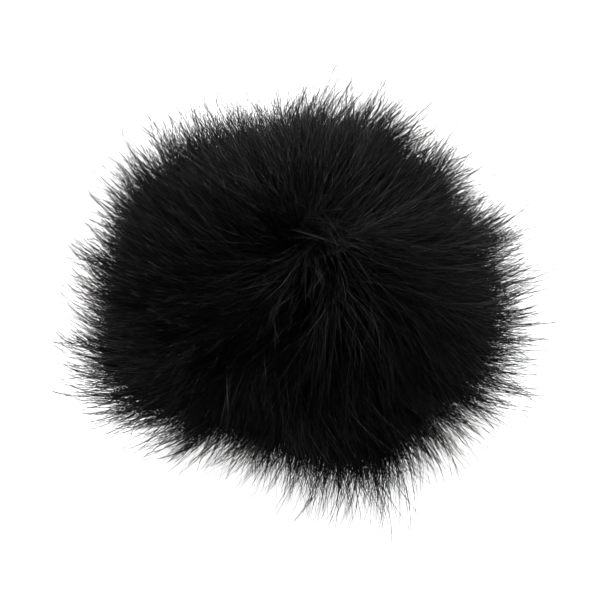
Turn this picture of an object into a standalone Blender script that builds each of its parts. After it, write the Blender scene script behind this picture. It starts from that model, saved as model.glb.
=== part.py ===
"""Furry windscreen for a clip-on microphone: a sewn faux-fur cover over a foam insert.

Metres, +Z up. The axis runs up from the neck to the crown. The origin is where the axis
meets the surface that the windscreen stands on, in the middle of the neck's opening.
"""

import math

import bpy
from mathutils import Vector

MM = 0.001
CLEARANCE = 0.3 * MM  # between pieces that touch on the real object

# The fur's outer shape: an ellipsoid, fuller below its centre, with a flat foot.
PILE_HALF_WIDTH = 26.0 * MM
PILE_HALF_DEPTH = 23.4 * MM
PILE_CENTRE_Z = 19.0 * MM
PILE_ABOVE = 21.0 * MM
PILE_BELOW = 25.0 * MM
PILE_TIP_RADIUS = 0.4 * MM  # the quarter piles stop this far from the axis
PILE_NECK_RADIUS = 10.5 * MM  # inside of the piles round the neck, clear of the hem's thread

# The pouch: knitted gores that widen from the neck and close at the crown.
GORE_THICKNESS = 0.8 * MM
GORE_RADIUS = 10.5 * MM
GORE_WIDEST_Z = 17.0 * MM
GORE_NECK_RADIUS = 8.5 * MM
GORE_NECK_TOP_Z = 7.2 * MM
GORE_END_Z = 4.9 * MM
CROWN_Z = 30.0 * MM
CROWN_HOLE_RADIUS = 1.6 * MM

# Seam allowances, turned into the pouch along both sides of every gore.
ALLOWANCE_DEPTH = 1.2 * MM
ALLOWANCE_THICKNESS = 0.6 * MM
ALLOWANCE_LEAST = 0.1 * MM
ALLOWANCE_NECK_Z = 9.0 * MM
ALLOWANCE_FULL_Z = 13.0 * MM
ALLOWANCE_CROWN_RADIUS = 3.2 * MM
ALLOWANCE_FULL_RADIUS = 6.0 * MM

# The folded binding tape, with the gores' raw edge and the elastic inside its fold.
TAPE_THICKNESS = 0.5 * MM
BINDING_RADIUS = 6.9 * MM
BINDING_BOTTOM_Z = 1.1 * MM
BINDING_TOP_Z = 6.6 * MM
ELASTIC_THICKNESS = 0.6 * MM
ELASTIC_WIDTH = 2.6 * MM

# Threads.
THREAD_RADIUS = 0.2 * MM
SEAM_WAVES = 8
SEAM_SWING = 0.7 * MM
SEAM_START_Z = 9.5 * MM
SEAM_END_RADIUS = 3.4 * MM
HEM_WAVES = 20
HEM_SWING = 0.6 * MM
HEM_Z = 5.4 * MM
KNOT_RADIUS = 1.2 * MM
KNOT_BOTTOM_Z = 28.3 * MM
KNOT_TOP_Z = 30.1 * MM

# The foam insert: a straight sleeve with a domed top and a blind bore for the capsule.
FOAM_RADIUS = 6.5 * MM
FOAM_HEIGHT = 24.0 * MM
FOAM_EDGE = 0.5 * MM
BORE_RADIUS = 3.3 * MM
BORE_DEPTH = 18.0 * MM

# The four panels, and the middle of each as an angle from +X.
PANELS = {"right": 0.0, "back": 90.0, "left": 180.0, "front": 270.0}
SEAMS = {"back_right": 45.0, "back_left": 135.0, "front_left": 225.0, "front_right": 315.0}
HALF_PANEL = math.radians(45.0)

ARC_STEPS = 7
RING_STEPS = 32
SMOOTH_ANGLE = math.radians(40.0)


def clear_scene():
    for ob in list(bpy.data.objects):
        bpy.data.objects.remove(ob, do_unlink=True)


def material(name, colour, roughness):
    mat = bpy.data.materials.new(name)
    mat.use_nodes = True
    shader = mat.node_tree.nodes["Principled BSDF"]
    shader.inputs["Base Color"].default_value = (*colour, 1.0)
    shader.inputs["Roughness"].default_value = roughness
    shader.inputs["Metallic"].default_value = 0.0
    return mat


def add_object(name, verts, faces, mat):
    """Adds one closed mesh, shaded smooth but for its real corners."""
    mesh = bpy.data.meshes.new(name)
    mesh.from_pydata([tuple(v) for v in verts], [], faces)
    mesh.validate()
    mesh.shade_smooth()
    mesh.set_sharp_from_angle(angle=SMOOTH_ANGLE)
    mesh.materials.append(mat)
    ob = bpy.data.objects.new(name, mesh)
    bpy.context.collection.objects.link(ob)
    return ob


def shell(name, rows, mat):
    """A closed sheet with thickness. Each row runs across it as (outside, inside) pairs."""
    count = len(rows[0])
    verts = [point for row in rows for pair in row for point in pair]

    def outside(row, i):
        return 2 * (row * count + i)

    def inside(row, i):
        return 2 * (row * count + i) + 1

    faces = []
    last = len(rows) - 1
    for row in range(last):
        for i in range(count - 1):
            faces.append((outside(row, i), outside(row, i + 1),
                          outside(row + 1, i + 1), outside(row + 1, i)))
            faces.append((inside(row, i), inside(row + 1, i),
                          inside(row + 1, i + 1), inside(row, i + 1)))
        faces.append((outside(row, 0), outside(row + 1, 0),
                      inside(row + 1, 0), inside(row, 0)))
        faces.append((outside(row, count - 1), inside(row, count - 1),
                      inside(row + 1, count - 1), outside(row + 1, count - 1)))
    for i in range(count - 1):
        faces.append((outside(0, i), inside(0, i), inside(0, i + 1), outside(0, i + 1)))
        faces.append((outside(last, i), outside(last, i + 1),
                      inside(last, i + 1), inside(last, i)))
    return add_object(name, verts, faces, mat)


def turned(name, profile, closed, mat):
    """Turns a profile of (radius, z) points round the axis, its material on the left hand."""
    verts = []
    rings = []
    for radius, z in profile:
        if radius == 0.0:
            rings.append([len(verts)] * RING_STEPS)
            verts.append(Vector((0.0, 0.0, z)))
            continue
        rings.append(list(range(len(verts), len(verts) + RING_STEPS)))
        for step in range(RING_STEPS):
            angle = 2.0 * math.pi * step / RING_STEPS
            verts.append(Vector((radius * math.cos(angle), radius * math.sin(angle), z)))
    faces = []
    for k in range(len(rings) if closed else len(rings) - 1):
        low = rings[k]
        high = rings[(k + 1) % len(rings)]
        for i in range(RING_STEPS):
            j = (i + 1) % RING_STEPS
            corners = [low[i], low[j], high[j], high[i]]
            faces.append(tuple(dict.fromkeys(corners)))
    return add_object(name, verts, faces, mat)


def thread(name, points, closed, mat):
    """A round thread along a list of points."""
    curve = bpy.data.curves.new(name, "CURVE")
    curve.dimensions = "3D"
    curve.bevel_depth = THREAD_RADIUS
    curve.bevel_resolution = 0
    curve.use_fill_caps = True
    spline = curve.splines.new("POLY")
    spline.points.add(len(points) - 1)
    for slot, point in zip(spline.points, points):
        slot.co = (*point, 1.0)
    spline.use_cyclic_u = closed
    spline.use_smooth = True
    curve.materials.append(mat)
    ob = bpy.data.objects.new(name, curve)
    bpy.context.collection.objects.link(ob)
    return ob


def gore_outline():
    """The gores' outer profile from neck to crown, as (radius, z) points."""
    points = [(GORE_NECK_RADIUS, GORE_END_Z), (GORE_NECK_RADIUS, GORE_NECK_TOP_Z)]
    steps = 3
    for k in range(1, steps + 1):
        share = k / steps
        swell = (1.0 - math.cos(math.pi * share)) / 2.0
        points.append((GORE_NECK_RADIUS + (GORE_RADIUS - GORE_NECK_RADIUS) * swell,
                       GORE_NECK_TOP_Z + (GORE_WIDEST_Z - GORE_NECK_TOP_Z) * share))
    steps = 6
    last = math.acos(CROWN_HOLE_RADIUS / GORE_RADIUS)
    for k in range(1, steps + 1):
        turn = last * k / steps
        points.append((GORE_RADIUS * math.cos(turn),
                       GORE_WIDEST_Z + (CROWN_Z - GORE_WIDEST_Z) * math.sin(turn)))
    return points


def offset_outline(points, distance):
    """The outline moved along its own normals, outwards for a positive distance."""
    moved = []
    for k, (radius, z) in enumerate(points):
        before = points[max(k - 1, 0)]
        after = points[min(k + 1, len(points) - 1)]
        along = Vector((after[0] - before[0], after[1] - before[1])).normalized()
        moved.append((radius + distance * along.y, z - distance * along.x))
    return moved


def ramp(value, start, end):
    return min(max((value - start) / (end - start), 0.0), 1.0)


def allowance_depth(radius, z):
    """How deep the seam allowance stands, which runs out at the neck and at the crown."""
    neck = ramp(z, ALLOWANCE_NECK_Z, ALLOWANCE_FULL_Z)
    crown = ramp(radius, ALLOWANCE_CROWN_RADIUS, ALLOWANCE_FULL_RADIUS)
    if z < GORE_WIDEST_Z:
        crown = 1.0
    return ALLOWANCE_LEAST + (ALLOWANCE_DEPTH - ALLOWANCE_LEAST) * min(neck, crown)


def polar(radius, angle, z):
    return Vector((radius * math.cos(angle), radius * math.sin(angle), z))


def beside_seam(radius, seam_angle, side, distance, z):
    """A point at a radius, on one side (+1 or -1) of a seam's plane and a distance from it."""
    return polar(radius, seam_angle + side * math.asin(distance / radius), z)


def arc(radius_at, middle, edge_distance, z):
    """Points across a panel at one height, ending at a distance from its two seam planes.

    radius_at gives the radius in a direction.
    """
    points = []
    for i in range(ARC_STEPS):
        share = 2.0 * i / (ARC_STEPS - 1) - 1.0
        full_radius = radius_at(middle + share * HALF_PANEL)
        angle = middle + share * (HALF_PANEL - math.asin(edge_distance / full_radius))
        points.append(polar(radius_at(angle), angle, z))
    return points


def round_arc(radius, middle, edge_distance, z):
    return arc(lambda angle: radius, middle, edge_distance, z)


def gore(name, middle, mat):
    """One knitted panel with its seam allowances turned in."""
    outline = gore_outline()
    inner = offset_outline(outline, -GORE_THICKNESS)
    near = CLEARANCE / 2.0
    far = near + ALLOWANCE_THICKNESS
    rows = []
    for k, (radius, z) in enumerate(outline):
        in_radius, in_z = inner[k]
        depth = GORE_THICKNESS + allowance_depth(radius, z)
        edge_radius, edge_z = offset_outline(outline, -depth)[k]
        outside = round_arc(radius, middle, near, z)
        inside = round_arc(in_radius, middle, far, in_z)
        first, last = middle - HALF_PANEL, middle + HALF_PANEL
        rows.append(
            [(beside_seam(edge_radius, first, 1, near, edge_z),
              beside_seam(edge_radius, first, 1, far, edge_z))]
            + list(zip(outside, inside))
            + [(beside_seam(edge_radius, last, -1, near, edge_z),
                beside_seam(edge_radius, last, -1, far, edge_z))]
        )
    return shell(name, rows, mat)


def pile_radius(turn, angle):
    """The fur's outer radius at a height (as an angle on the ellipsoid) and a direction."""
    across = math.hypot(math.cos(angle) / PILE_HALF_WIDTH, math.sin(angle) / PILE_HALF_DEPTH)
    return math.cos(turn) / across


def pile_height(turn):
    reach = PILE_ABOVE if turn > 0.0 else PILE_BELOW
    return PILE_CENTRE_Z + reach * math.sin(turn)


def pile_lining():
    """The pile's inner profile: clear of the hem and its thread, then along the gores."""
    hem_top = BINDING_TOP_Z + CLEARANCE
    neck = [(PILE_NECK_RADIUS, 0.0), (PILE_NECK_RADIUS, hem_top / 2.0), (PILE_NECK_RADIUS, hem_top)]
    follow = offset_outline(gore_outline(), CLEARANCE)[1:]
    follow[0] = (follow[0][0], hem_top + CLEARANCE)
    return neck + follow + [(PILE_TIP_RADIUS, CROWN_Z + 2.0 * CLEARANCE)]


def pile(name, middle, mat):
    """The fur of one panel, as the solid that it fills."""
    lining = pile_lining()
    lowest = -math.asin(PILE_CENTRE_Z / PILE_BELOW)
    highest = math.acos(PILE_TIP_RADIUS / PILE_HALF_DEPTH)
    near = CLEARANCE / 2.0
    rows = []
    for k, (in_radius, in_z) in enumerate(lining):
        turn = lowest + (highest - lowest) * k / (len(lining) - 1)
        outside = arc(lambda angle: pile_radius(turn, angle), middle, near, pile_height(turn))
        inside = round_arc(in_radius, middle, near, in_z)
        rows.append(list(zip(outside, inside)))
    return shell(name, rows, mat)


def seam_path(angle):
    """A zigzag over the inner edges of the two allowances of one seam."""
    fine = []
    outline = gore_outline()
    for k, (radius, z) in enumerate(outline):
        depth = GORE_THICKNESS + allowance_depth(radius, z) + CLEARANCE + THREAD_RADIUS
        if z > GORE_NECK_TOP_Z:
            fine.append(offset_outline(outline, -depth)[k])
    run = [p for p in fine if p[1] > SEAM_START_Z and p[0] > SEAM_END_RADIUS]
    points = []
    per_wave = 8
    count = SEAM_WAVES * per_wave
    for i in range(count + 1):
        place = (len(run) - 1) * i / count
        k = min(int(place), len(run) - 2)
        share = place - k
        radius = run[k][0] + (run[k + 1][0] - run[k][0]) * share
        z = run[k][1] + (run[k + 1][1] - run[k][1]) * share
        swing = SEAM_SWING * math.sin(2.0 * math.pi * i / per_wave)
        points.append(beside_seam(radius, angle, 1, swing, z))
    return points


def tape_radii():
    """Both faces of the folded tape's inner leg, then both faces of its outer leg."""
    inner_wall = BINDING_RADIUS + TAPE_THICKNESS
    outer_wall = inner_wall + GORE_THICKNESS + 2.0 * CLEARANCE
    return BINDING_RADIUS, inner_wall, outer_wall, outer_wall + TAPE_THICKNESS


def hem_path():
    """A zigzag all the way round the outside of the binding."""
    radius = tape_radii()[-1] + CLEARANCE + THREAD_RADIUS
    per_wave = 4
    count = HEM_WAVES * per_wave
    points = []
    for i in range(count):
        z = HEM_Z + HEM_SWING * math.sin(2.0 * math.pi * i / per_wave)
        points.append(polar(radius, 2.0 * math.pi * i / count, z))
    return points


def neck_binding(mat):
    """Tape folded to a U, open at the top where the gores go in."""
    inner, inner_wall, outer_wall, outer = tape_radii()
    floor = BINDING_BOTTOM_Z + TAPE_THICKNESS
    profile = [
        (inner, BINDING_BOTTOM_Z), (outer, BINDING_BOTTOM_Z),
        (outer, BINDING_TOP_Z), (outer_wall, BINDING_TOP_Z),
        (outer_wall, floor), (inner_wall, floor),
        (inner_wall, BINDING_TOP_Z), (inner, BINDING_TOP_Z),
    ]
    return turned("neck_binding", profile, True, mat)


def elastic_band(mat):
    middle = BINDING_RADIUS + TAPE_THICKNESS + CLEARANCE + GORE_THICKNESS / 2.0
    inner = middle - ELASTIC_THICKNESS / 2.0
    outer = middle + ELASTIC_THICKNESS / 2.0
    low = BINDING_BOTTOM_Z + TAPE_THICKNESS + CLEARANCE
    high = low + ELASTIC_WIDTH
    profile = [(inner, low), (outer, low), (outer, high), (inner, high)]
    return turned("elastic_band", profile, True, mat)


def crown_knot(mat):
    middle = (KNOT_BOTTOM_Z + KNOT_TOP_Z) / 2.0
    half = (KNOT_TOP_Z - KNOT_BOTTOM_Z) / 2.0
    steps = 6
    profile = [(0.0, KNOT_BOTTOM_Z)]
    for k in range(1, steps):
        turn = -math.pi / 2.0 + math.pi * k / steps
        profile.append((KNOT_RADIUS * math.cos(turn), middle + half * math.sin(turn)))
    profile.append((0.0, KNOT_TOP_Z))
    return turned("crown_knot", profile, False, mat)


def foam_insert(mat):
    """The sleeve, from the bore's blind end, out of its mouth, up the side and over the dome."""
    profile = [(0.0, BORE_DEPTH), (BORE_RADIUS, BORE_DEPTH), (BORE_RADIUS, FOAM_EDGE),
               (BORE_RADIUS + FOAM_EDGE, 0.0), (FOAM_RADIUS - FOAM_EDGE, 0.0),
               (FOAM_RADIUS, FOAM_EDGE)]
    shoulder = FOAM_HEIGHT - FOAM_RADIUS
    profile.append((FOAM_RADIUS, shoulder / 2.0))
    steps = 5
    for k in range(steps):
        turn = math.pi / 2.0 * k / steps
        profile.append((FOAM_RADIUS * math.cos(turn), shoulder + FOAM_RADIUS * math.sin(turn)))
    profile.append((0.0, FOAM_HEIGHT))
    return turned("foam_insert", profile, False, mat)


def build():
    clear_scene()
    fur = material("fur", (0.012, 0.012, 0.013), 0.45)
    knit = material("knit", (0.02, 0.02, 0.022), 0.9)
    sewing = material("sewing_thread", (0.025, 0.025, 0.027), 0.6)
    tape = material("tape", (0.018, 0.018, 0.02), 0.8)
    elastic = material("elastic", (0.03, 0.03, 0.032), 0.7)
    foam = material("foam", (0.035, 0.035, 0.037), 0.95)
    for side, degrees in PANELS.items():
        gore("gore_" + side, math.radians(degrees), knit)
        pile("pile_" + side, math.radians(degrees), fur)
    for corner, degrees in SEAMS.items():
        thread("seam_thread_" + corner, seam_path(math.radians(degrees)), False, sewing)
    thread("hem_thread", hem_path(), True, sewing)
    crown_knot(sewing)
    neck_binding(tape)
    elastic_band(elastic)
    foam_insert(foam)


build()
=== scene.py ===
import math

import bpy
import numpy as np
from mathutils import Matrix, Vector, kdtree, noise


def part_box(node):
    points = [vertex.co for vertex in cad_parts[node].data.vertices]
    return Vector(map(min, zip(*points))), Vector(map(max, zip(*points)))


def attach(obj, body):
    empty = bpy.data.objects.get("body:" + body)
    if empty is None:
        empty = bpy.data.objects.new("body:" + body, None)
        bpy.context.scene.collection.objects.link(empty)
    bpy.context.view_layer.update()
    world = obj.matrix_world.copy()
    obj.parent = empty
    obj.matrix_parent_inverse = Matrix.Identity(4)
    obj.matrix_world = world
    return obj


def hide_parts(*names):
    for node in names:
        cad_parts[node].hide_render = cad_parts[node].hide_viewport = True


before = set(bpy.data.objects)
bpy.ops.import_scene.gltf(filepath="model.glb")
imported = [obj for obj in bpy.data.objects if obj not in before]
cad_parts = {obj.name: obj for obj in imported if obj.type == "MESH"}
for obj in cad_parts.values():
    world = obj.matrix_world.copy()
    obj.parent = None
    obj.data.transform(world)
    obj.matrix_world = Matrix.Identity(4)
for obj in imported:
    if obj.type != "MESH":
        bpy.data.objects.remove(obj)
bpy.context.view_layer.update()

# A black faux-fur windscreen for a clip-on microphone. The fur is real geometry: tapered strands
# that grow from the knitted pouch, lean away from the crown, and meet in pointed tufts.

MM = 0.001
SEED = 20
PANELS = ("right", "back", "left", "front")

# The fur's outer shape, read from the pile solids of the frame. Its widest height and its reach
# below that are the solids' own shares of their height.
HALF_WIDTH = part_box("pile_right")[1].x
HALF_DEPTH = -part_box("pile_front")[0].y
TOP_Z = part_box("pile_front")[1].z
MIDDLE_Z = TOP_Z * 19.0 / 40.0
BELOW = TOP_Z * 25.0 / 40.0
ABOVE = TOP_Z - MIDDLE_Z

# The pouch, read from the gores and the binding.
CLEARANCE = 0.3 * MM
POUCH_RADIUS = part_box("gore_right")[1].x
CROWN_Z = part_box("gore_right")[1].z
RAW_EDGE_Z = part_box("gore_right")[0].z
WIDEST_Z = CROWN_Z * 17.0 / 30.0    # where the pouch is widest, as a share of its height
NECK_TOP_Z = CROWN_Z * 7.2 / 30.0   # where it starts to widen
TAPE = 0.5 * MM                     # the binding's thickness
CLOTH = 0.8 * MM                    # the gores' thickness, from the outside of their loops
CLOTH_HALF = 0.29 * MM              # half of it, between the loops
BINDING_LOW, BINDING_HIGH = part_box("neck_binding")
NECK_RADIUS = BINDING_HIGH.x - TAPE - CLEARANCE
CROWN_HOLE = 1.6 * MM
ALLOWANCE = 1.2 * MM                # how deep the seam allowances stand inside the pouch
ALLOWANCE_LEAST = 0.1 * MM
ALLOWANCE_NECK = (9.0 * MM, 13.0 * MM)      # heights between which they grow above the neck
ALLOWANCE_CROWN = (3.2 * MM, 6.0 * MM)      # radii between which they run out at the crown

# The lie of the fur. All hairs part at the crown. Each row then says, round one direction on the
# ball: how far it reaches, how much the hairs stand up, how much they run away from the crown,
# and the way they have been stroked.
CROWN = np.array(Vector((0.18, -0.18, 1.0)).normalized())
LOWEST = -0.93                      # where the foot meets the neck, as a height on the unit sphere
COMB = (
    ((0.18, -0.18, 1.0), 0.30, 0.80, 0.75, (0.00, 0.00, 0.00)),
    ((0.00, 0.55, 0.85), 0.45, 0.85, 0.60, (0.10, 0.00, 0.10)),
    ((0.00, 0.95, 0.35), 0.50, 0.90, 0.50, (0.65, 0.10, 0.00)),
    ((-0.45, 0.50, 0.75), 0.35, 0.55, 0.75, (0.05, 0.50, 0.15)),
    ((-0.65, 0.28, 0.70), 0.35, 0.38, 0.85, (0.05, 0.55, 0.20)),
    ((-0.70, 0.65, 0.30), 0.50, 0.80, 0.60, (0.45, 0.50, 0.15)),
    ((-1.00, 0.00, 0.00), 0.45, 0.75, 0.55, (0.40, 1.00, 0.45)),
    ((-0.75, -0.35, 0.55), 0.45, 0.55, 0.85, (0.10, 0.45, 0.20)),
    ((-0.80, -0.60, -0.25), 0.45, 0.80, 0.55, (0.00, 0.60, 0.25)),
    ((-0.25, -0.90, -0.35), 0.45, 0.80, 0.60, (0.00, 0.00, -0.05)),
    ((-0.20, -0.60, 0.75), 0.45, 0.55, 0.80, (-0.05, 0.10, 0.05)),
    ((0.40, -0.55, 0.70), 0.45, 0.30, 1.10, (0.05, 0.00, 0.00)),
    ((0.40, -0.85, -0.30), 0.45, 0.70, 0.70, (0.18, 0.12, 0.05)),
    ((0.80, -0.20, 0.55), 0.45, 0.40, 1.00, (0.00, 0.20, 0.10)),
    ((1.00, 0.00, 0.00), 0.50, 0.80, 0.55, (0.05, 0.45, 0.20)),
    ((0.65, 0.60, 0.50), 0.50, 0.75, 0.60, (0.05, 0.10, 0.10)),
    ((0.00, 0.00, -1.00), 0.60, 0.80, 0.60, (0.00, 0.00, 0.10)),
)

# Where the fur stands fuller or flatter than the plain ball: direction, width, height, and how
# much longer the guard hairs are there.
SWELLS = (
    ((-0.93, -0.33, -0.15), 0.25, 1.8 * MM, 0.5 * MM),
    ((-0.99, 0.06, 0.03), 0.27, -3.0 * MM, 1.2 * MM),
    ((-0.66, 0.68, 0.32), 0.35, -0.8 * MM, 1.5 * MM),
    ((0.96, -0.26, -0.12), 0.28, 1.9 * MM, 1.9 * MM),
    ((1.00, 0.00, 0.00), 0.15, -1.8 * MM, 0.7 * MM),
    ((-0.40, -0.83, -0.39), 0.45, -2.8 * MM, 0.2 * MM),
    ((-0.79, -0.55, -0.26), 0.32, -0.1 * MM, 2.2 * MM),
    ((0.28, -0.87, -0.40), 0.28, 3.9 * MM, 0.8 * MM),
    ((0.74, -0.61, -0.28), 0.30, 0.6 * MM, 1.8 * MM),
    ((-0.09, 0.90, 0.42), 0.32, -3.4 * MM, -0.4 * MM),
    ((0.04, 0.91, 0.42), 0.13, -2.4 * MM, -0.6 * MM),
    ((0.26, 0.88, 0.41), 0.20, 1.0 * MM, 2.0 * MM),
    ((0.70, 0.64, 0.30), 0.40, -1.3 * MM, 0.7 * MM),
    ((0.87, 0.45, 0.21), 0.22, -2.2 * MM, 0.0 * MM),
    ((0.97, 0.22, 0.10), 0.20, 0.6 * MM, 1.8 * MM),
)
FLOOR_GAP = 0.25 * MM               # how far off the floor the lowest hairs lie
HEM_CLEAR = BINDING_HIGH.x + 0.55 * MM      # no hair comes nearer to the axis beside the binding

CAMERA_ELEVATION = math.radians(65.0)
LENS = 100.0
SENSOR = 36.0
VIEW_WIDTH = 70.0 * MM
SOFTBOXES = (                       # name, turn from +X and height in degrees, power in watts
    ("right", 30.0, 25.0, 4.2),
    ("back", 90.0, 25.0, 3.0),
    ("back_left", 150.0, 15.0, 6.6),
    ("left", 210.0, 12.0, 2.6),
)
SOFTBOX_SIZE = 0.45
SOFTBOX_DISTANCE = 0.60
AIM_DROP = 1.9 * MM                 # the middle of the view, below the fur's middle
STUDIO_RADIUS = 1.5                 # of the floor and of the backdrop round it
BACKDROP_FACES = 96
SKY = 0.09                          # strength of the even light from all round


# ---------------------------------------------------------------- small tools

def unit(v):
    return v / np.maximum(np.linalg.norm(v, axis=-1, keepdims=True), 1e-12)


def link(ob):
    bpy.context.collection.objects.link(ob)
    return ob


# ---------------------------------------------------------------- the fur

def shell_points(s):
    """Where unit vectors meet the fur's outer shape, and its normals there."""
    height = np.where(s[:, 2] > 0.0, ABOVE, BELOW)
    reach = np.stack([np.full(len(s), HALF_WIDTH), np.full(len(s), HALF_DEPTH), height], 1)
    n = unit(s / reach)
    points = s * reach + np.array((0.0, 0.0, MIDDLE_Z))
    return points + n * swell(s, 2)[:, None], n


def swell(s, column):
    """One column of SWELLS, faded out round each row's direction."""
    total = np.zeros(len(s))
    for row in SWELLS:
        off = np.linalg.norm(s - np.array(Vector(row[0]).normalized()), axis=1)
        total = total + row[column] * np.exp(-(off / row[1]) ** 2)
    return total


def pouch_profile():
    """Run, (radius, height) and outward slope down the pouch, from the crown to its raw edge."""
    turn = np.linspace(math.pi / 2.0, 0.0, 40)
    dome = np.stack([POUCH_RADIUS * np.cos(turn), WIDEST_Z + (CROWN_Z - WIDEST_Z) * np.sin(turn)], 1)
    down = np.linspace(0.0, 1.0, 30)[1:]
    share = (1.0 + np.cos(math.pi * down)) / 2.0
    flank = np.stack([NECK_RADIUS + (POUCH_RADIUS - NECK_RADIUS) * share,
                      WIDEST_Z + (NECK_TOP_Z - WIDEST_Z) * down], 1)
    hem = np.stack([np.full(6, NECK_RADIUS), np.linspace(NECK_TOP_Z, RAW_EDGE_Z, 7)[1:]], 1)
    path = np.concatenate([dome, flank, hem])
    along = np.gradient(path, axis=0)
    slope = unit(np.stack([-along[:, 1], along[:, 0]], 1))
    run = np.concatenate([[0.0], np.cumsum(np.linalg.norm(np.diff(path, axis=0), axis=1))])
    return run, path, slope


def roots(q):
    """Points on the pouch, and its normals, in the directions of the unit vectors q."""
    run, path, slope = pouch_profile()
    last = run[path[:, 1] > NECK_TOP_Z - 1e-9][-1]
    at = last * np.arccos(np.clip(q[:, 2], LOWEST, 1.0)) / math.acos(LOWEST)
    angle = np.arctan2(q[:, 1], q[:, 0])
    radius, z, out, up = (np.interp(at, run, v) for v in (*path.T, *slope.T))
    point = np.stack([radius * np.cos(angle), radius * np.sin(angle), z], 1)
    normal = unit(np.stack([out * np.cos(angle), out * np.sin(angle), up], 1))
    return point, normal


def sphere_sample(rng, count):
    """Unit vectors spread evenly over all of the ball but the neck."""
    z = rng.uniform(LOWEST, 1.0, count)
    angle = rng.uniform(-math.pi, math.pi, count)
    flat = np.sqrt(1.0 - z * z)
    return np.stack([flat * np.cos(angle), flat * np.sin(angle), z], 1)


def waves(rng, strength):
    """A slowly varying field of vectors over the ball, as a function of direction."""
    turns = rng.normal(0.0, 5.0, (10, 3))
    phases = rng.uniform(0.0, 2.0 * math.pi, 10)
    ways = rng.normal(0.0, strength / math.sqrt(5.0), (10, 3))

    def field(s):
        return np.sin(s @ turns.T + phases) @ ways
    return field


def lie(s, n, drift):
    """The way the hairs point at the surface."""
    where = np.array([Vector(row[0]).normalized() for row in COMB])
    reach = np.array([row[1] for row in COMB])
    values = np.array([(row[2], row[3], *row[4]) for row in COMB])
    off = np.linalg.norm(s[:, None] - where[None], axis=2)
    weight = np.exp(-(off / reach) ** 2) + 1e-9
    value = (weight @ values) / weight.sum(1, keepdims=True)
    away = unit(s * (s @ CROWN)[:, None] - CROWN)
    away = unit(away - n * (away * n).sum(1)[:, None])
    return unit(value[:, :1] * n + value[:, 1:2] * away + value[:, 2:] + drift(s))


def tufts(rng, count, drift):
    """Points where hairs meet, and the way each tuft points."""
    s = sphere_sample(rng, count)
    points, n = shell_points(s)
    heading = unit(lie(s, n, drift) + rng.normal(0.0, 0.16, (count, 3)))
    points = points + n * rng.normal(0.0, 0.6 * MM, count)[:, None]
    return points, heading


def nearest(points, centres):
    tree = kdtree.KDTree(len(centres))
    for i, c in enumerate(centres):
        tree.insert(c, i)
    tree.balance()
    return np.array([tree.find(p)[1] for p in points])


def lock_controls(rng, count, depth, spread, gathers, stray, groups, drift):
    """The four Bezier points of the middle line of each lock of hairs."""
    s = sphere_sample(rng, count)
    surface, n = shell_points(s)
    down = depth + rng.normal(0.0, spread, count)
    if depth < 0.0:
        down = down - swell(s, 3)
    end = surface - n * down[:, None]
    slant = rng.normal(0.0, stray, (count, 3))
    slant = slant - n * (slant * n).sum(1)[:, None]
    heading = lie(s, n, drift) + slant
    for (points, ways), gather in zip(groups, gathers):
        own = nearest(surface, points)
        pull = np.clip(rng.normal(gather, 0.15, count), 0.0, 0.9)[:, None]
        meet = points[own] - n * down[:, None]
        end = end + (meet - end) * pull
        heading = heading + (ways[own] - heading) * pull * TUFT_TURN
    heading = unit(heading)
    lean = heading - n * (heading * n).sum(1)[:, None]
    root, out = roots(unit(s - lean * LEAN))
    reach = np.linalg.norm(end - root, axis=1)[:, None]
    end = end + slant * reach * TIP_SLANT
    p1 = root + out * reach * ROOT_RISE + rng.normal(0.0, 0.05, (count, 3)) * reach
    p2 = end - heading * reach * TIP_RUN
    return np.stack([root, p1, p2, end], 1)


def hairs_of(rng, controls, per_lock, lock_width, shortest, rings):
    """Centre lines of the hairs that make up each lock: closer at the tip than at the root.

    The lowest hairs are lifted off the floor, and those beside the binding are kept out of it.
    """
    controls = np.repeat(controls, per_lock, axis=0)
    count = len(controls)
    close = rng.beta(1.2, 1.4, count)[:, None]
    share = 1.0 - close * np.array((0.0, 0.20, 0.60, 0.90))[None]
    offset = rng.normal(0.0, 0.5, (count, 1, 3))
    loose = rng.normal(0.0, 0.22, (count, 4, 3))
    loose[:, 0] = 0.0
    controls = controls + (offset * share[:, :, None] + loose) * lock_width
    ends = rng.uniform(shortest, 1.0, count) ** 0.7
    t = np.array(rings)[None, :, None] * ends[:, None, None]
    c = controls[:, :, None]
    path = ((1 - t) ** 3 * c[:, 0] + 3 * t * (1 - t) ** 2 * c[:, 1]
            + 3 * t * t * (1 - t) * c[:, 2] + t ** 3 * c[:, 3])
    z = path[:, :, 2]
    lifted = FLOOR_GAP * (1.0 + np.exp(np.minimum(z / FLOOR_GAP - 2.0, 0.0)))
    path[:, :, 2] = np.where(z < FLOOR_GAP * 2.0, lifted, z)
    radius = np.linalg.norm(path[:, :, :2], axis=2)
    inside = (radius < HEM_CLEAR) & (z < BINDING_HIGH.z)
    path[:, :, :2] *= np.where(inside, HEM_CLEAR / radius, 1.0)[:, :, None]
    return path


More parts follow.
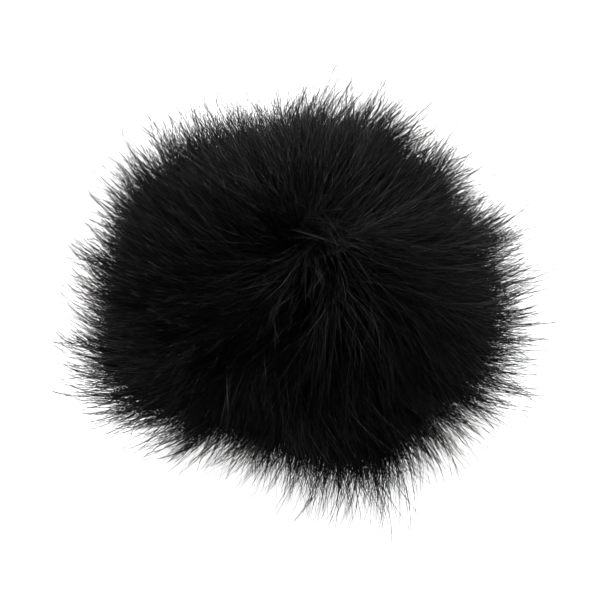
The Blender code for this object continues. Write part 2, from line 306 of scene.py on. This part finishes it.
def strands_mesh(name, path, thick, point):
    """One mesh of closed three-sided tapering hairs along the given centre lines."""
    count, rings = path.shape[:2]
    along = unit(np.gradient(path, axis=1))
    bend = np.cross(along[:, 0], along[:, -1])
    spare = np.cross(along[:, 0], np.array((0.31, 0.17, 0.93)))
    side = unit(np.where(np.linalg.norm(bend, axis=1)[:, None] > 0.05, bend, spare))[:, None]
    side = unit(side - along * (side * along).sum(2)[:, :, None])
    up = np.cross(along, side)
    t = np.linspace(0.0, 1.0, rings)
    taper = (1.0 - 0.20 * t) * np.clip(1.0 - t ** point, 0.0, 1.0) ** 0.7
    radius = thick[:, None] * 0.5 * taper[None, :]
    angles = 2.0 * math.pi * np.arange(3) / 3.0
    body = path[:, :-1, None] + radius[:, :-1, None, None] * (
        side[:, :-1, None] * np.cos(angles)[None, None, :, None]
        + up[:, :-1, None] * np.sin(angles)[None, None, :, None])
    verts = np.concatenate([body.reshape(count, -1, 3), path[:, -1:]], axis=1)
    per = verts.shape[1]
    walls = []
    for ring in range(rings - 2):
        for k in range(3):
            a = ring * 3 + k
            b = ring * 3 + (k + 1) % 3
            walls.append((a, b, b + 3, a + 3))
    last = (rings - 2) * 3
    tris = [(last + k, last + (k + 1) % 3, per - 1) for k in range(3)] + [(2, 1, 0)]
    loops_one = np.array([i for f in walls + tris for i in f])
    sizes_one = np.array([4] * len(walls) + [3] * len(tris))
    loops = (loops_one[None] + (np.arange(count) * per)[:, None]).ravel()
    sizes = np.tile(sizes_one, count)
    starts = np.concatenate([[0], np.cumsum(sizes)[:-1]])
    mesh = bpy.data.meshes.new(name)
    mesh.vertices.add(count * per)
    mesh.vertices.foreach_set("co", verts.astype(np.float32).ravel())
    mesh.loops.add(len(loops))
    mesh.loops.foreach_set("vertex_index", loops.astype(np.int32))
    mesh.polygons.add(len(sizes))
    mesh.polygons.foreach_set("loop_start", starts.astype(np.int32))
    mesh.polygons.foreach_set("use_smooth", np.ones(len(sizes), bool))
    mesh.update(calc_edges=True)
    return link(bpy.data.objects.new(name, mesh))


# Places of a hair's rings along it, from root to tip.
FEW = (0.0, 0.45, 0.75, 0.92, 1.0)
MORE = (0.0, 0.36, 0.62, 0.80, 0.91, 1.0)

# Layers of the fur: name; number of locks and hairs in each; lock width, depth below the outer
# shape and its spread, and hair thickness, all in mm; how far the locks gather in large and in
# small tufts; how far they stray; the shortest hair's share of the longest; rings; and how late
# a hair starts to taper.
LAYERS = (
    ("undercoat", 3800, 5, (1.6, 4.4, 1.2, 0.115), (0.15, 0.15), 0.16, 0.70, FEW, 5.0),
    ("pile_inner", 4600, 5, (1.0, 2.4, 1.0, 0.078), (0.15, 0.30), 0.16, 0.70, MORE, 5.0),
    ("pile_middle", 5600, 4, (0.8, 1.5, 1.0, 0.068), (0.18, 0.35), 0.18, 0.70, MORE, 4.0),
    ("pile_outer", 7000, 3, (0.7, 0.2, 1.2, 0.070), (0.20, 0.26), 0.24, 0.66, MORE, 3.0),
    ("guard_hair", 11500, 1, (0.5, -2.3, 1.9, 0.080), (0.12, 0.30), 0.24, 0.75, MORE, 3.0),
    ("glossy_hair", 9000, 1, (0.5, -1.4, 1.7, 0.056), (0.10, 0.15), 0.32, 0.70, MORE, 3.0),
    ("stray_hair", 520, 4, (0.6, -4.3, 1.6, 0.074), (0.10, 0.40), 0.30, 0.80, MORE, 3.0),
)
LEAN = 0.45                         # how far a hair's root lies behind its tip, against its lie
ROOT_RISE = 0.34                    # how far it rises from the pouch, as a share of its length
TIP_RUN = 0.50                      # how far it follows its lie at the tip, likewise
TIP_SLANT = 0.40                    # how far its tip strays, likewise, for a slant of 1
TUFT_TURN = 0.6                     # how much of its pull to a tuft also turns it
MOST_HAIRS = 7100                   # in one piece


def fur(plain, glossy):
    rng = np.random.default_rng(SEED)
    drift = waves(rng, 0.13)
    groups = (tufts(rng, 700, drift), tufts(rng, 5000, drift))
    for label, locks, per, sizes, gathers, stray, shortest, rings, point in LAYERS:
        width, depth, spread, thick = (size * MM for size in sizes)
        controls = lock_controls(rng, locks, depth, spread, gathers, stray, groups, drift)
        path = hairs_of(rng, controls, per, width, shortest, rings)
        thickness = thick * rng.uniform(0.7, 1.2, len(path))
        root = np.repeat(controls[:, 0], per, axis=0)
        turn = np.degrees(np.arctan2(root[:, 1], root[:, 0])) % 360.0
        quarter = np.floor((turn + 45.0) / 90.0).astype(int) % 4
        for k, panel in enumerate(PANELS):
            mine = np.flatnonzero(quarter == k)[:MOST_HAIRS]
            ob = strands_mesh(label + "_" + panel, path[mine], thickness[mine], point)
            ob.data.materials.append(glossy if label == "glossy_hair" else plain)
            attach(ob, "cover")
            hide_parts("pile_" + panel)


# ---------------------------------------------------------------- sewn and foam pieces

def quads(index):
    return np.stack([index[:-1, :-1], index[:-1, 1:], index[1:, 1:], index[1:, :-1]], 2).reshape(-1, 4)


def finished(name, verts, faces, cloth, mat, body, nodes):
    """One closed mesh with its cloth coordinates (across, along, relief), tied into the frame. Where a
    material reads the relief, it paints its hollows darker, as painted shade.
    """
    mesh = bpy.data.meshes.new(name)
    mesh.from_pydata(verts.tolist(), [], faces)
    mesh.shade_smooth()
    mesh.attributes.new("cloth", "FLOAT_VECTOR", "POINT").data.foreach_set(
        "vector", cloth.astype(np.float32).ravel())
    mesh.materials.append(mat)
    return tied(link(bpy.data.objects.new(name, mesh)), body, nodes)


def tied(ob, body, nodes):
    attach(ob, body)
    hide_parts(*nodes)
    return ob


def shell(name, outside, inside, cloth, mat, slot, node, wrap=False):
    """A closed sheet between two grids of points; wrap joins its last column to its first."""
    rows, cols = outside.shape[:2]
    outer = np.arange(rows * cols).reshape(rows, cols)
    if wrap:
        outer = np.concatenate([outer, outer[:, :1]], 1)
    inner = outer + rows * cols
    faces = [quads(outer), quads(inner)[:, ::-1],
             quads(np.stack([inner[0], outer[0]])), quads(np.stack([outer[-1], inner[-1]]))]
    if not wrap:
        faces.append(quads(np.stack([inner[:, 0], outer[:, 0]], 1)))
        faces.append(quads(np.stack([outer[:, -1], inner[:, -1]], 1)))
    verts = np.concatenate([outside.reshape(-1, 3), inside.reshape(-1, 3)])
    both = np.concatenate([cloth.reshape(-1, 3)] * 2)
    return finished(name, verts, np.concatenate(faces).tolist(), both, mat, "cover", [node])


def polar(radius, angle, z):
    return np.stack(np.broadcast_arrays(radius * np.cos(angle), radius * np.sin(angle), z), -1)


def ramp(value, start, end):
    return np.clip((value - start) / (end - start), 0.0, 1.0)


def pouch_rows(count):
    """Evenly spaced rows of the pouch from its raw edge up: run, radius, z, and the slope."""
    run, path, slope = pouch_profile()
    first = np.interp(CROWN_HOLE, path[:40, 0], run[:40])
    at = np.linspace(run[-1], first, count)
    return (at, *(np.interp(at, run, v) for v in (*path.T, *slope.T)))


def allowance_depth(radius, z):
    """How deep a seam allowance stands inside the cloth: it runs out at neck and crown."""
    neck = ramp(z, *ALLOWANCE_NECK)
    crown = np.where(z < WIDEST_Z, 1.0, ramp(radius, *ALLOWANCE_CROWN))
    return ALLOWANCE_LEAST + (ALLOWANCE - ALLOWANCE_LEAST) * np.minimum(neck, crown)


WALE = 0.62 * MM                    # one column of knitted loops
COURSE = 0.62 * MM                  # one row of them
LOOP_HEIGHT = 0.16 * MM             # how far the loops stand out, from valley to top
FOLD = 0.35 * MM                    # radius of the fold at a seam
SEAM_GAP = 0.30 * MM                # middle of an allowance, from the seam's plane


def gore(panel, middle, mat):
    """A knitted panel: loops in rows and columns, with the seam allowances folded inwards."""
    at, radius, z, out, up = (v[:, None] for v in pouch_rows(150))
    deep = allowance_depth(radius, z)
    wall = SEAM_GAP
    bed = CLOTH / 2.0                           # middle of the panel, from its outside
    straight = np.linspace(0.0, 1.0, 6)[None, :-1]
    bent = np.linspace(0.0, math.pi / 2.0, 5)[None, :-1]
    wide = np.linspace(0.0, 1.0, 46)[None]
    none = np.zeros_like(radius)
    depth = np.concatenate([bed + FOLD + (deep + bed - FOLD) * (1.0 - straight),
                            bed + FOLD * (1.0 - np.sin(bent)) + none, bed + none * wide], 1)
    fold_end = wall + FOLD
    dist = np.concatenate([wall + none * straight, wall + FOLD * (1.0 - np.cos(bent)) + none], 1)
    ring = radius - depth * out
    start = np.arcsin(fold_end / ring[:, -1:])
    angle = np.concatenate([np.arcsin(dist / ring[:, :9]),
                            start + (math.pi / 4.0 - start) * wide], 1)
    face_depth = np.concatenate([none * straight, -np.sin(bent) + none, none * wide - 1.0], 1)
    face_dist = np.concatenate([none * straight - 1.0, -np.cos(bent) + none, none * wide], 1)
    across = (math.pi / 4.0 - angle) * radius + np.maximum(depth - bed, 0.0)
    wave = np.abs((across / WALE + 0.5) % 1.0 - 0.5) * 2.0
    loops = (1.0 - wave ** 2) * (0.62 + 0.38 * np.cos(2.0 * math.pi * (at / COURSE - 0.45 * wave)))
    pressed = np.concatenate([np.zeros(5), np.linspace(0.0, 1.0, 5)[:-1], np.ones(46)])
    relief = (loops - 0.5) * LOOP_HEIGHT * pressed
    sides = []
    for thick in (CLOTH_HALF, -CLOTH_HALF):
        move = thick + relief * np.sign(thick)
        r = radius - (depth + face_depth * move) * out
        height = z - (depth + face_depth * move) * up
        turn = angle + face_dist * move / r
        first = polar(r, middle - math.pi / 4.0 + turn, height)
        last = polar(r, middle + math.pi / 4.0 - turn, height)
        sides.append(np.concatenate([first, last[:, -2::-1]], 1))
    # The third coordinate, the loops' height, also paints the valleys between the loops darker:
    # painted shade.
    cloth = np.stack(np.broadcast_arrays(across, at, loops), -1)
    cloth = np.concatenate([cloth, cloth[:, -2::-1]], 1)
    ob = shell("knit_" + panel, *sides, cloth, mat, "knit", "gore_" + panel)
    return ob


def puckers(angle):
    """How far the gathered neck stands out or in."""
    return (0.15 * np.sin(26.0 * angle + 0.8 * np.sin(3.0 * angle))
            + 0.05 * np.sin(41.0 * angle + 1.0)) * MM


INNER_LEG = 7.15 * MM               # radius of the middle of the tape's inner leg
TAPE_BEND = 0.8 * MM                # radius of the fold's two corners
YARN = 0.4 * MM                     # spacing of the tape's weave


def binding(mat):
    """Woven tape folded to a U round the neck's edge, gathered by the elastic in its fold."""
    turn = 2.0 * math.pi * np.arange(300)[None] / 300
    inner, outer = INNER_LEG, BINDING_HIGH.x - TAPE / 2.0
    bottom, top, bend = BINDING_LOW.z + TAPE / 2.0, BINDING_HIGH.z, TAPE_BEND
    rise = np.linspace(0.0, 1.0, 16)[:-1]
    curl = np.linspace(0.0, math.pi / 2.0, 9)[:-1]
    flat = np.linspace(0.0, 1.0, 4)[:-1]
    corner = bottom + bend
    radius = np.concatenate([np.full(15, inner), inner + bend * (1.0 - np.cos(curl)),
                             inner + bend + (outer - inner - 2.0 * bend) * flat,
                             outer - bend * (1.0 - np.sin(curl)), np.full(15, outer), [outer]])
    z = np.concatenate([top + (corner - top) * rise, corner - bend * np.sin(curl),
                        np.full(3, bottom), corner - bend * np.cos(curl),
                        corner + (top - corner) * rise, [top]])
    along = np.gradient(np.stack([radius, z], 1), axis=0)
    run = np.concatenate([[0.0], np.cumsum(np.hypot(np.diff(radius), np.diff(z)))])[:, None]
    slope = unit(np.stack([along[:, 1], -along[:, 0]], 1))
    edge = 1.0 - ramp(np.minimum(run, run[-1] - run), 0.0, 1.2 * MM)
    lift = (0.10 * np.sin(9.0 * turn + 2.0) + 0.05 * np.sin(23.0 * turn)) * MM * edge
    over = 0.02 * MM * np.sin(2.0 * math.pi * run / YARN) * np.sin(150.0 * turn)
    sides = []
    for thick in (TAPE / 2.0, -TAPE / 2.0):
        half = thick * (1.0 - 0.35 * edge ** 3) + over * np.sign(thick)
        r = radius[:, None] + slope[:, :1] * half + puckers(turn)
        sides.append(polar(r, turn, z[:, None] + slope[:, 1:] * half + lift))
    cloth = np.stack(np.broadcast_arrays(turn * outer, run, np.ones_like(turn * run)), -1)
    ob = shell("binding_tape", *sides, cloth, mat, "tape", "neck_binding", wrap=True)
    return ob


ELASTIC_INSIDE = 7.8 * MM           # radius of the elastic's inner face


def elastic(mat):
    """Flat braided elastic: plaits that cross from side to side of the band."""
    low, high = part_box("elastic_band")
    turn = 2.0 * math.pi * np.arange(480)[None] / 480
    across = np.linspace(0.0, 1.0, 25)[:, None]
    z = low.z + (high.z - low.z) * across
    half = (high.x - ELASTIC_INSIDE) / 2.0
    middle = high.x - half
    plait = np.abs(np.sin(4.0 * math.pi * across)) * (
        0.6 + 0.4 * np.cos(96.0 * turn + 3.0 * np.abs((4.0 * across) % 1.0 - 0.5) * 2.0))
    thick = half * (0.70 + 0.30 * plait) * np.sqrt(1.0 - (2.0 * across - 1.0) ** 8 * 0.75)
    sides = [polar(middle + thick * way, turn, z + 0.0 * turn) for way in (1.0, -1.0)]
    # The plait's height also paints the hollows between the plaits darker: painted shade.
    cloth = np.stack(np.broadcast_arrays(turn * middle, z, plait), -1)
    return shell("braided_elastic", *sides, cloth, mat, "elastic", "elastic_band", wrap=True)


BORE_RADIUS = 3.3 * MM
BORE_DEPTH = 18.0 * MM
FOAM_EDGE = 0.5 * MM                # radius of the edges at the foam's foot
CELL = 0.50 * MM                    # least distance between the middles of two cells
CELLS = 5200
PIT = 0.26 * MM                     # how deep an open cell is cut


def foam(rng, mat):
    """The bored sleeve of open-cell foam, every cell at its surface cut open to a pit."""
    low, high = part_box("foam_insert")
    bore, edge, tall, wide = BORE_RADIUS, FOAM_EDGE, high.z, high.x
    blend = 0.1 * bore
    bend = np.linspace(0.0, math.pi / 2.0, 12)
    shoulder = tall - wide
    corners = [
        np.stack([bore * np.linspace(0.01, 0.9, 8), np.full(8, BORE_DEPTH)], 1),
        np.stack([bore - blend * (1.0 - np.sin(bend)), BORE_DEPTH - blend * (1.0 - np.cos(bend))], 1),
        [(bore, edge)],
        np.stack([bore + edge * (1.0 - np.cos(bend)), edge * (1.0 - np.sin(bend))], 1),
        np.stack([wide - edge * (1.0 - np.sin(bend)), edge * (1.0 - np.cos(bend))], 1),
        np.stack([wide * np.cos(bend), shoulder + wide * np.sin(bend)], 1)[:-1],
        [(0.01 * wide, tall)],
    ]
    rough = np.concatenate(corners)
    run = np.concatenate([[0.0], np.cumsum(np.linalg.norm(np.diff(rough, axis=0), axis=1))])
    at = np.linspace(0.0, run[-1], 310)
    radius, z = np.interp(at, run, rough[:, 0]), np.interp(at, run, rough[:, 1])
    along = np.gradient(np.stack([radius, z], 1), axis=0)
    slope = unit(np.stack([along[:, 1], -along[:, 0]], 1))
    cols = 250
    turn = 2.0 * math.pi * np.arange(cols)[None] / cols
    plain = polar(radius[:, None], turn, z[:, None]).reshape(-1, 3)
    normal = polar(slope[:, :1], turn, slope[:, 1:]).reshape(-1, 3)
    pick = rng.choice(len(plain), 60000, p=np.repeat(radius / radius.sum() / cols, cols))
    cells = plain[pick] + rng.normal(0.0, 0.12 * MM, (len(pick), 3))
    tree = kdtree.KDTree(CELLS)
    for i, c in enumerate(spaced(cells, CELL)[:CELLS]):
        tree.insert(c, i)
    tree.balance()
    pairs = np.array([[hit[2] for hit in tree.find_n(p, 2)] for p in plain])
    open_cell = np.clip((pairs[:, 1] - pairs[:, 0]) / (0.42 * MM), 0.0, 1.0) ** 0.8
    uneven = np.array([noise.noise(p * 180.0) for p in map(Vector, plain)]) * 0.12 * MM
    relief = uneven - open_cell * PIT
    verts = plain + normal * relief[:, None]
    verts[:, 2] = np.maximum(verts[:, 2], low.z)
    ends = np.array([(0.0, 0.0, z[0]), (0.0, 0.0, z[-1])])
    index = np.arange(len(plain)).reshape(-1, cols)
    index = np.concatenate([index, index[:, :1]], 1)
    first, last = len(plain), len(plain) + 1
    faces = quads(index).tolist()
    faces += [(first, index[0, i + 1], index[0, i]) for i in range(cols)]
    faces += [(last, index[-1, i], index[-1, i + 1]) for i in range(cols)]
    faces = [tuple(int(i) for i in face) for face in faces]
    # The open cells' pits are also painted darker through the third coordinate: painted shade.
    cloth = np.stack([plain[:, 0], plain[:, 2], 1.0 - open_cell], 1)
    cloth = np.concatenate([cloth, [(0.0, 0.0, 0.5)] * 2])
    ob = finished("foam_sleeve", np.concatenate([verts, ends]), faces, cloth, mat,
                  "insert", ["foam_insert"])
    return ob


def spaced(points, gap):
    """Those of the points that keep a gap to all kept before them."""
    taken, kept = {}, []
    for p, key in zip(points, map(tuple, np.floor(points / gap).astype(int))):
        near = [q for i in (-1, 0, 1) for j in (-1, 0, 1) for k in (-1, 0, 1)
                for q in taken.get((key[0] + i, key[1] + j, key[2] + k), ())]
        if all(((p - q) ** 2).sum() > gap * gap for q in near):
            taken.setdefault(key, []).append(p)
            kept.append(p)
    return kept


# ---------------------------------------------------------------- threads

PLIES = 3
PITCH = 0.9 * MM                    # length in which a thread's plies twist once round


def yarn(name, paths, radius, closed, mat, node):
    """Sewing thread along each path, made of plies that twist round each other."""
    curve = bpy.data.curves.new(name, "CURVE")
    curve.dimensions = "3D"
    curve.bevel_depth = radius * 0.52
    curve.bevel_resolution = 1
    curve.use_fill_caps = True
    for path in paths:
        step = np.linalg.norm(np.diff(path, axis=0), axis=1)
        run = np.concatenate([[0.0], np.cumsum(step)])
        total = run[-1] + (np.linalg.norm(path[0] - path[-1]) if closed else 0.0)
        twists = max(round(total / PITCH), 1)
        if closed:
            around = np.concatenate([path[-1:], path, path[:1]])
            along = unit(around[2:] - around[:-2])
        else:
            along = unit(np.gradient(path, axis=0))
        side = unit(np.cross(along, np.array((0.13, 0.21, 0.97))))
        up = np.cross(along, side)
        for ply in range(PLIES):
            turn = 2.0 * math.pi * (run / total * twists + ply / PLIES)
            line = path + (side * np.cos(turn)[:, None] + up * np.sin(turn)[:, None]) * radius * 0.5
            spline = curve.splines.new("POLY")
            spline.points.add(len(line) - 1)
            spline.points.foreach_set("co", np.c_[line, np.ones(len(line))].astype(np.float32).ravel())
            spline.use_cyclic_u = closed
            spline.use_smooth = True
    curve.materials.append(mat)
    return tied(link(bpy.data.objects.new(name, curve)), "cover", [node])


THREAD = 0.2 * MM                   # radius of the sewing thread
STITCHES = 13                       # in one seam
SEAM_START = 9.6 * MM               # height at which the overcast stitches start
SEAM_END = 3.5 * MM                 # radius at which they end, near the crown
HEM_STITCHES = 20                   # zigzags round the binding
HEM_HEIGHT = 5.4 * MM


def overcast(corner, angle, mat):
    """A whipstitch that winds round both allowances of one seam and pierces them."""
    at, radius, z, out, up = pouch_rows(400)
    keep = (z > SEAM_START) & ((radius > SEAM_END) | (z < WIDEST_Z))
    at, radius, z, out, up = (np.interp(np.linspace(0, keep.sum() - 1, 900),
                                        np.arange(keep.sum()), v[keep])
                              for v in (at, radius, z, out, up))
    turn = 2.0 * math.pi * STITCHES * np.linspace(0.0, 1.0, 900)
    edge = CLOTH + allowance_depth(radius, z)
    depth = edge - 0.10 * MM + 0.62 * MM * np.sin(turn)
    aside = 0.78 * MM * np.cos(turn)
    r = radius - depth * out
    path = polar(r, angle + np.arcsin(aside / r), z - depth * up)
    return yarn("overcast_" + corner, [path], THREAD * 0.9, False, mat, "seam_thread_" + corner)


def hem_stitch(mat):
    """A zigzag round the binding whose corners dip where the needle went in."""
    count = 1600
    turn = 2.0 * math.pi * np.arange(count) / count
    phase = (turn * HEM_STITCHES / (2.0 * math.pi)) % 1.0
    zig = 1.0 - 4.0 * np.abs(phase - 0.5)
    soft = np.sign(zig) * (1.0 - (1.0 - np.abs(zig)) ** 1.25)
    dip = np.clip(np.abs(zig) - 0.82, 0.0, 1.0) / 0.18 * 0.45 * MM
    radius = BINDING_HIGH.x + puckers(turn) + THREAD * 0.9 - dip
    path = polar(radius, turn, HEM_HEIGHT + 0.62 * MM * soft)
    return yarn("hem_zigzag", [path], THREAD * 0.9, True, mat, "hem_thread")


def knot(mat):
    """The seam threads' ends, tied off in the hole at the crown, and their two tails."""
    low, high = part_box("crown_knot")
    middle = (low.z + high.z) / 2.0
    t = np.linspace(0.0, 2.0 * math.pi, 260)[:-1]
    size = (high.x - THREAD) / 3.0
    loops = np.stack([size * (np.sin(t) + 2.0 * np.sin(2.0 * t)),
                      size * (np.cos(t) - 2.0 * np.cos(2.0 * t)),
                      middle - 0.42 * MM * np.sin(3.0 * t)], 1)
    loops = np.concatenate([loops, loops[:1]])
    t = np.linspace(0.0, 1.0, 60)[:, None]
    tails = [np.array((way * 0.3, 0.2 * way, 0.0)) * MM + np.array((0.0, 0.0, middle))
             + t * np.array((way * 0.9, 0.5, -2.6)) * MM
             + np.sin(t * 5.0) * np.array((0.2, way * 0.25, 0.0)) * MM for way in (1.0, -1.0)]
    return yarn("tied_knot", [loops, *tails], THREAD * 0.95, False, mat, "crown_knot")


# ---------------------------------------------------------------- materials

def new_material(name, colour, roughness):
    mat = bpy.data.materials.new(name)
    mat.use_nodes = True
    shader = mat.node_tree.nodes["Principled BSDF"]
    shader.inputs["Base Color"].default_value = (*colour, 1.0)
    shader.inputs["Roughness"].default_value = roughness
    return mat, shader


def fur_material(name, shine, roughness, light):
    """Near-black modacrylic: every hair has its own shade."""
    mat, shader = new_material(name, (light, light, light), roughness)
    nodes, links = mat.node_tree.nodes, mat.node_tree.links
    island = nodes.new("ShaderNodeNewGeometry")
    shades = nodes.new("ShaderNodeValToRGB")
    shades.color_ramp.elements[0].color = (0.0004, 0.0004, 0.0005, 1.0)
    shades.color_ramp.elements[0].position = 0.30
    shades.color_ramp.elements[1].color = (light, light, light * 1.03, 1.0)
    links.new(island.outputs["Random Per Island"], shades.inputs["Fac"])
    links.new(shades.outputs["Color"], shader.inputs["Base Color"])
    shader.inputs["Specular IOR Level"].default_value = shine
    return mat


def soft_material(name, dark, light, roughness, grain, weave=None, sheen=0.0):
    """Cloth, thread or foam, with a fine grain of light and dark.

    weave is None for plain grain, 0 to add painted shade in the relief's hollows, or the spacing of a
    woven bump whose dips also get painted shade.
    """
    mat, shader = new_material(name, dark, roughness)
    nodes, links = mat.node_tree.nodes, mat.node_tree.links

    def node(kind, **values):
        made = nodes.new("ShaderNode" + kind)
        for key, value in values.items():
            setattr(made, key, value)
        return made

    def maths(operation, first, second):
        made = node("Math", operation=operation)
        for socket, value in zip(made.inputs, (first, second)):
            if hasattr(value, "links"):
                links.new(value, socket)
            else:
                socket.default_value = value
        return made.outputs[0]

    place = node("TexCoord")
    speck = node("TexNoise")
    speck.inputs["Scale"].default_value = grain
    speck.inputs["Detail"].default_value = 4.0
    links.new(place.outputs["Object"], speck.inputs["Vector"])
    cloth = node("Attribute", attribute_name="cloth")
    split = node("SeparateXYZ")
    links.new(cloth.outputs["Vector"], split.inputs[0])
    shade = speck.outputs["Fac"]
    height = speck.outputs["Fac"]
    # Painted shade: the woven bump's low parts and, with weave 0, the relief's hollows are painted
    # darker. The noise adds a random grain of tone.
    if weave:
        warp = maths("SINE", maths("MULTIPLY", split.outputs["X"], 2.0 * math.pi / weave), 0.0)
        weft = maths("SINE", maths("MULTIPLY", split.outputs["Y"], 2.0 * math.pi / weave), 0.0)
        over = maths("MULTIPLY", maths("ADD", maths("MULTIPLY", warp, weft), 1.0), 0.5)
        height = maths("ADD", over, maths("MULTIPLY", speck.outputs["Fac"], 0.5))
        shade = maths("MULTIPLY", maths("ADD", over, speck.outputs["Fac"]), 0.5)
    elif weave is not None:
        shade = maths("MULTIPLY", maths("ADD", split.outputs["Z"], speck.outputs["Fac"]), 0.5)
    shades = node("ValToRGB")
    shades.color_ramp.elements[0].position = 0.25
    shades.color_ramp.elements[0].color = (*dark, 1.0)
    shades.color_ramp.elements[1].position = 0.80
    shades.color_ramp.elements[1].color = (*light, 1.0)
    links.new(shade, shades.inputs["Fac"])
    links.new(shades.outputs["Color"], shader.inputs["Base Color"])
    bump = node("Bump")
    bump.inputs["Strength"].default_value = 0.5
    bump.inputs["Distance"].default_value = 0.04 * MM
    links.new(height, bump.inputs["Height"])
    links.new(bump.outputs["Normal"], shader.inputs["Normal"])
    shader.inputs["Sheen Weight"].default_value = sheen
    return mat


# ---------------------------------------------------------------- stage

def softbox(name, turn, height, power):
    """A square softbox round the object: its turn from +X and its height, in degrees."""
    light = bpy.data.lights.new(name, "AREA")
    light.shape = "SQUARE"
    light.size = SOFTBOX_SIZE
    light.energy = power
    ob = link(bpy.data.objects.new(name, light))
    turn, height = math.radians(turn), math.radians(height)
    way = Vector((math.cos(height) * math.cos(turn), math.cos(height) * math.sin(turn),
                  math.sin(height)))
    ob.location = Vector((0.0, 0.0, MIDDLE_Z)) + way * SOFTBOX_DISTANCE
    ob.rotation_euler = (-way).to_track_quat("-Z", "Y").to_euler()
    return ob


def studio_surface(name, verts, faces, colour, glow):
    """A white studio surface. Its own glow keeps it pale, and doesn't light the object."""
    mesh = bpy.data.meshes.new(name)
    mesh.from_pydata(verts, [], faces)
    mat, shader = new_material(name + "_white", (colour, colour, colour), 0.9)
    shader.inputs["Emission Color"].default_value = (1.0, 1.0, 1.0, 1.0)
    shader.inputs["Emission Strength"].default_value = glow
    mesh.materials.append(mat)
    ob = link(bpy.data.objects.new(name, mesh))
    ob.visible_diffuse = False
    ob.visible_glossy = False
    return ob


def stage():
    middle = Vector((0.0, 0.0, MIDDLE_Z))
    half = STUDIO_RADIUS
    corners = [(-half, -half, 0), (half, -half, 0), (half, half, 0), (-half, half, 0)]
    studio_surface("floor", corners, [(0, 1, 2, 3)], colour=0.93, glow=0.89)
    count = BACKDROP_FACES
    ring = [(half * math.cos(a), half * math.sin(a), z)
            for z in (0.0, half) for a in np.linspace(0.0, 2.0 * math.pi, count + 1)[:-1]]
    walls = [(i, (i + 1) % count, (i + 1) % count + count, i + count) for i in range(count)]
    backdrop = studio_surface("backdrop", ring, walls, colour=0.0, glow=0.97)
    backdrop.visible_shadow = False
    world = bpy.data.worlds.new("world")
    world.use_nodes = True
    world.node_tree.nodes["Background"].inputs[0].default_value = (1.0, 1.0, 1.0, 1.0)
    world.node_tree.nodes["Background"].inputs[1].default_value = SKY
    bpy.context.scene.world = world
    for light in SOFTBOXES:
        softbox(*light)
    camera = bpy.data.cameras.new("camera")
    camera.lens = LENS
    camera.sensor_width = SENSOR
    ob = link(bpy.data.objects.new("camera", camera))
    back = Vector((0.0, -math.cos(CAMERA_ELEVATION), math.sin(CAMERA_ELEVATION)))
    distance = VIEW_WIDTH * LENS / SENSOR
    camera.clip_start = distance * 0.05
    camera.clip_end = distance * 60.0
    up = Vector((0.0, math.sin(CAMERA_ELEVATION), math.cos(CAMERA_ELEVATION)))
    ob.location = middle - up * AIM_DROP + back * distance
    ob.rotation_euler = (-back).to_track_quat("-Z", "Y").to_euler()
    bpy.context.scene.camera = ob
    bpy.context.scene.view_settings.view_transform = "Standard"


fur(fur_material("fur", shine=0.11, roughness=0.46, light=0.006),
    fur_material("fur_glossy", shine=0.60, roughness=0.36, light=0.012))
knit = soft_material("knit", (0.006, 0.006, 0.007), (0.030, 0.030, 0.032), 0.85, 2500.0, 0.0, 0.1)
for k, panel in enumerate(PANELS):
    gore(panel, k * math.pi / 2.0, knit)
sewing = soft_material("sewing_thread", (0.012, 0.012, 0.013), (0.040, 0.040, 0.043), 0.5, 4000.0)
for k, corner in enumerate(("back_right", "back_left", "front_left", "front_right")):
    overcast(corner, math.pi / 4.0 + k * math.pi / 2.0, sewing)
hem_stitch(sewing)
knot(sewing)
# The tape's weave is painted darker where its bump dips: painted shade.
binding(soft_material("tape", (0.006, 0.006, 0.007), (0.028, 0.028, 0.030), 0.75, 2500.0, YARN, 0.1))
elastic(soft_material("elastic", (0.010, 0.010, 0.011), (0.045, 0.045, 0.048), 0.65, 3000.0, 0.0))
foam(np.random.default_rng(SEED), soft_material(
    "foam", (0.004, 0.004, 0.0045), (0.050, 0.050, 0.053), 0.95, 1500.0, 0.0))
stage()
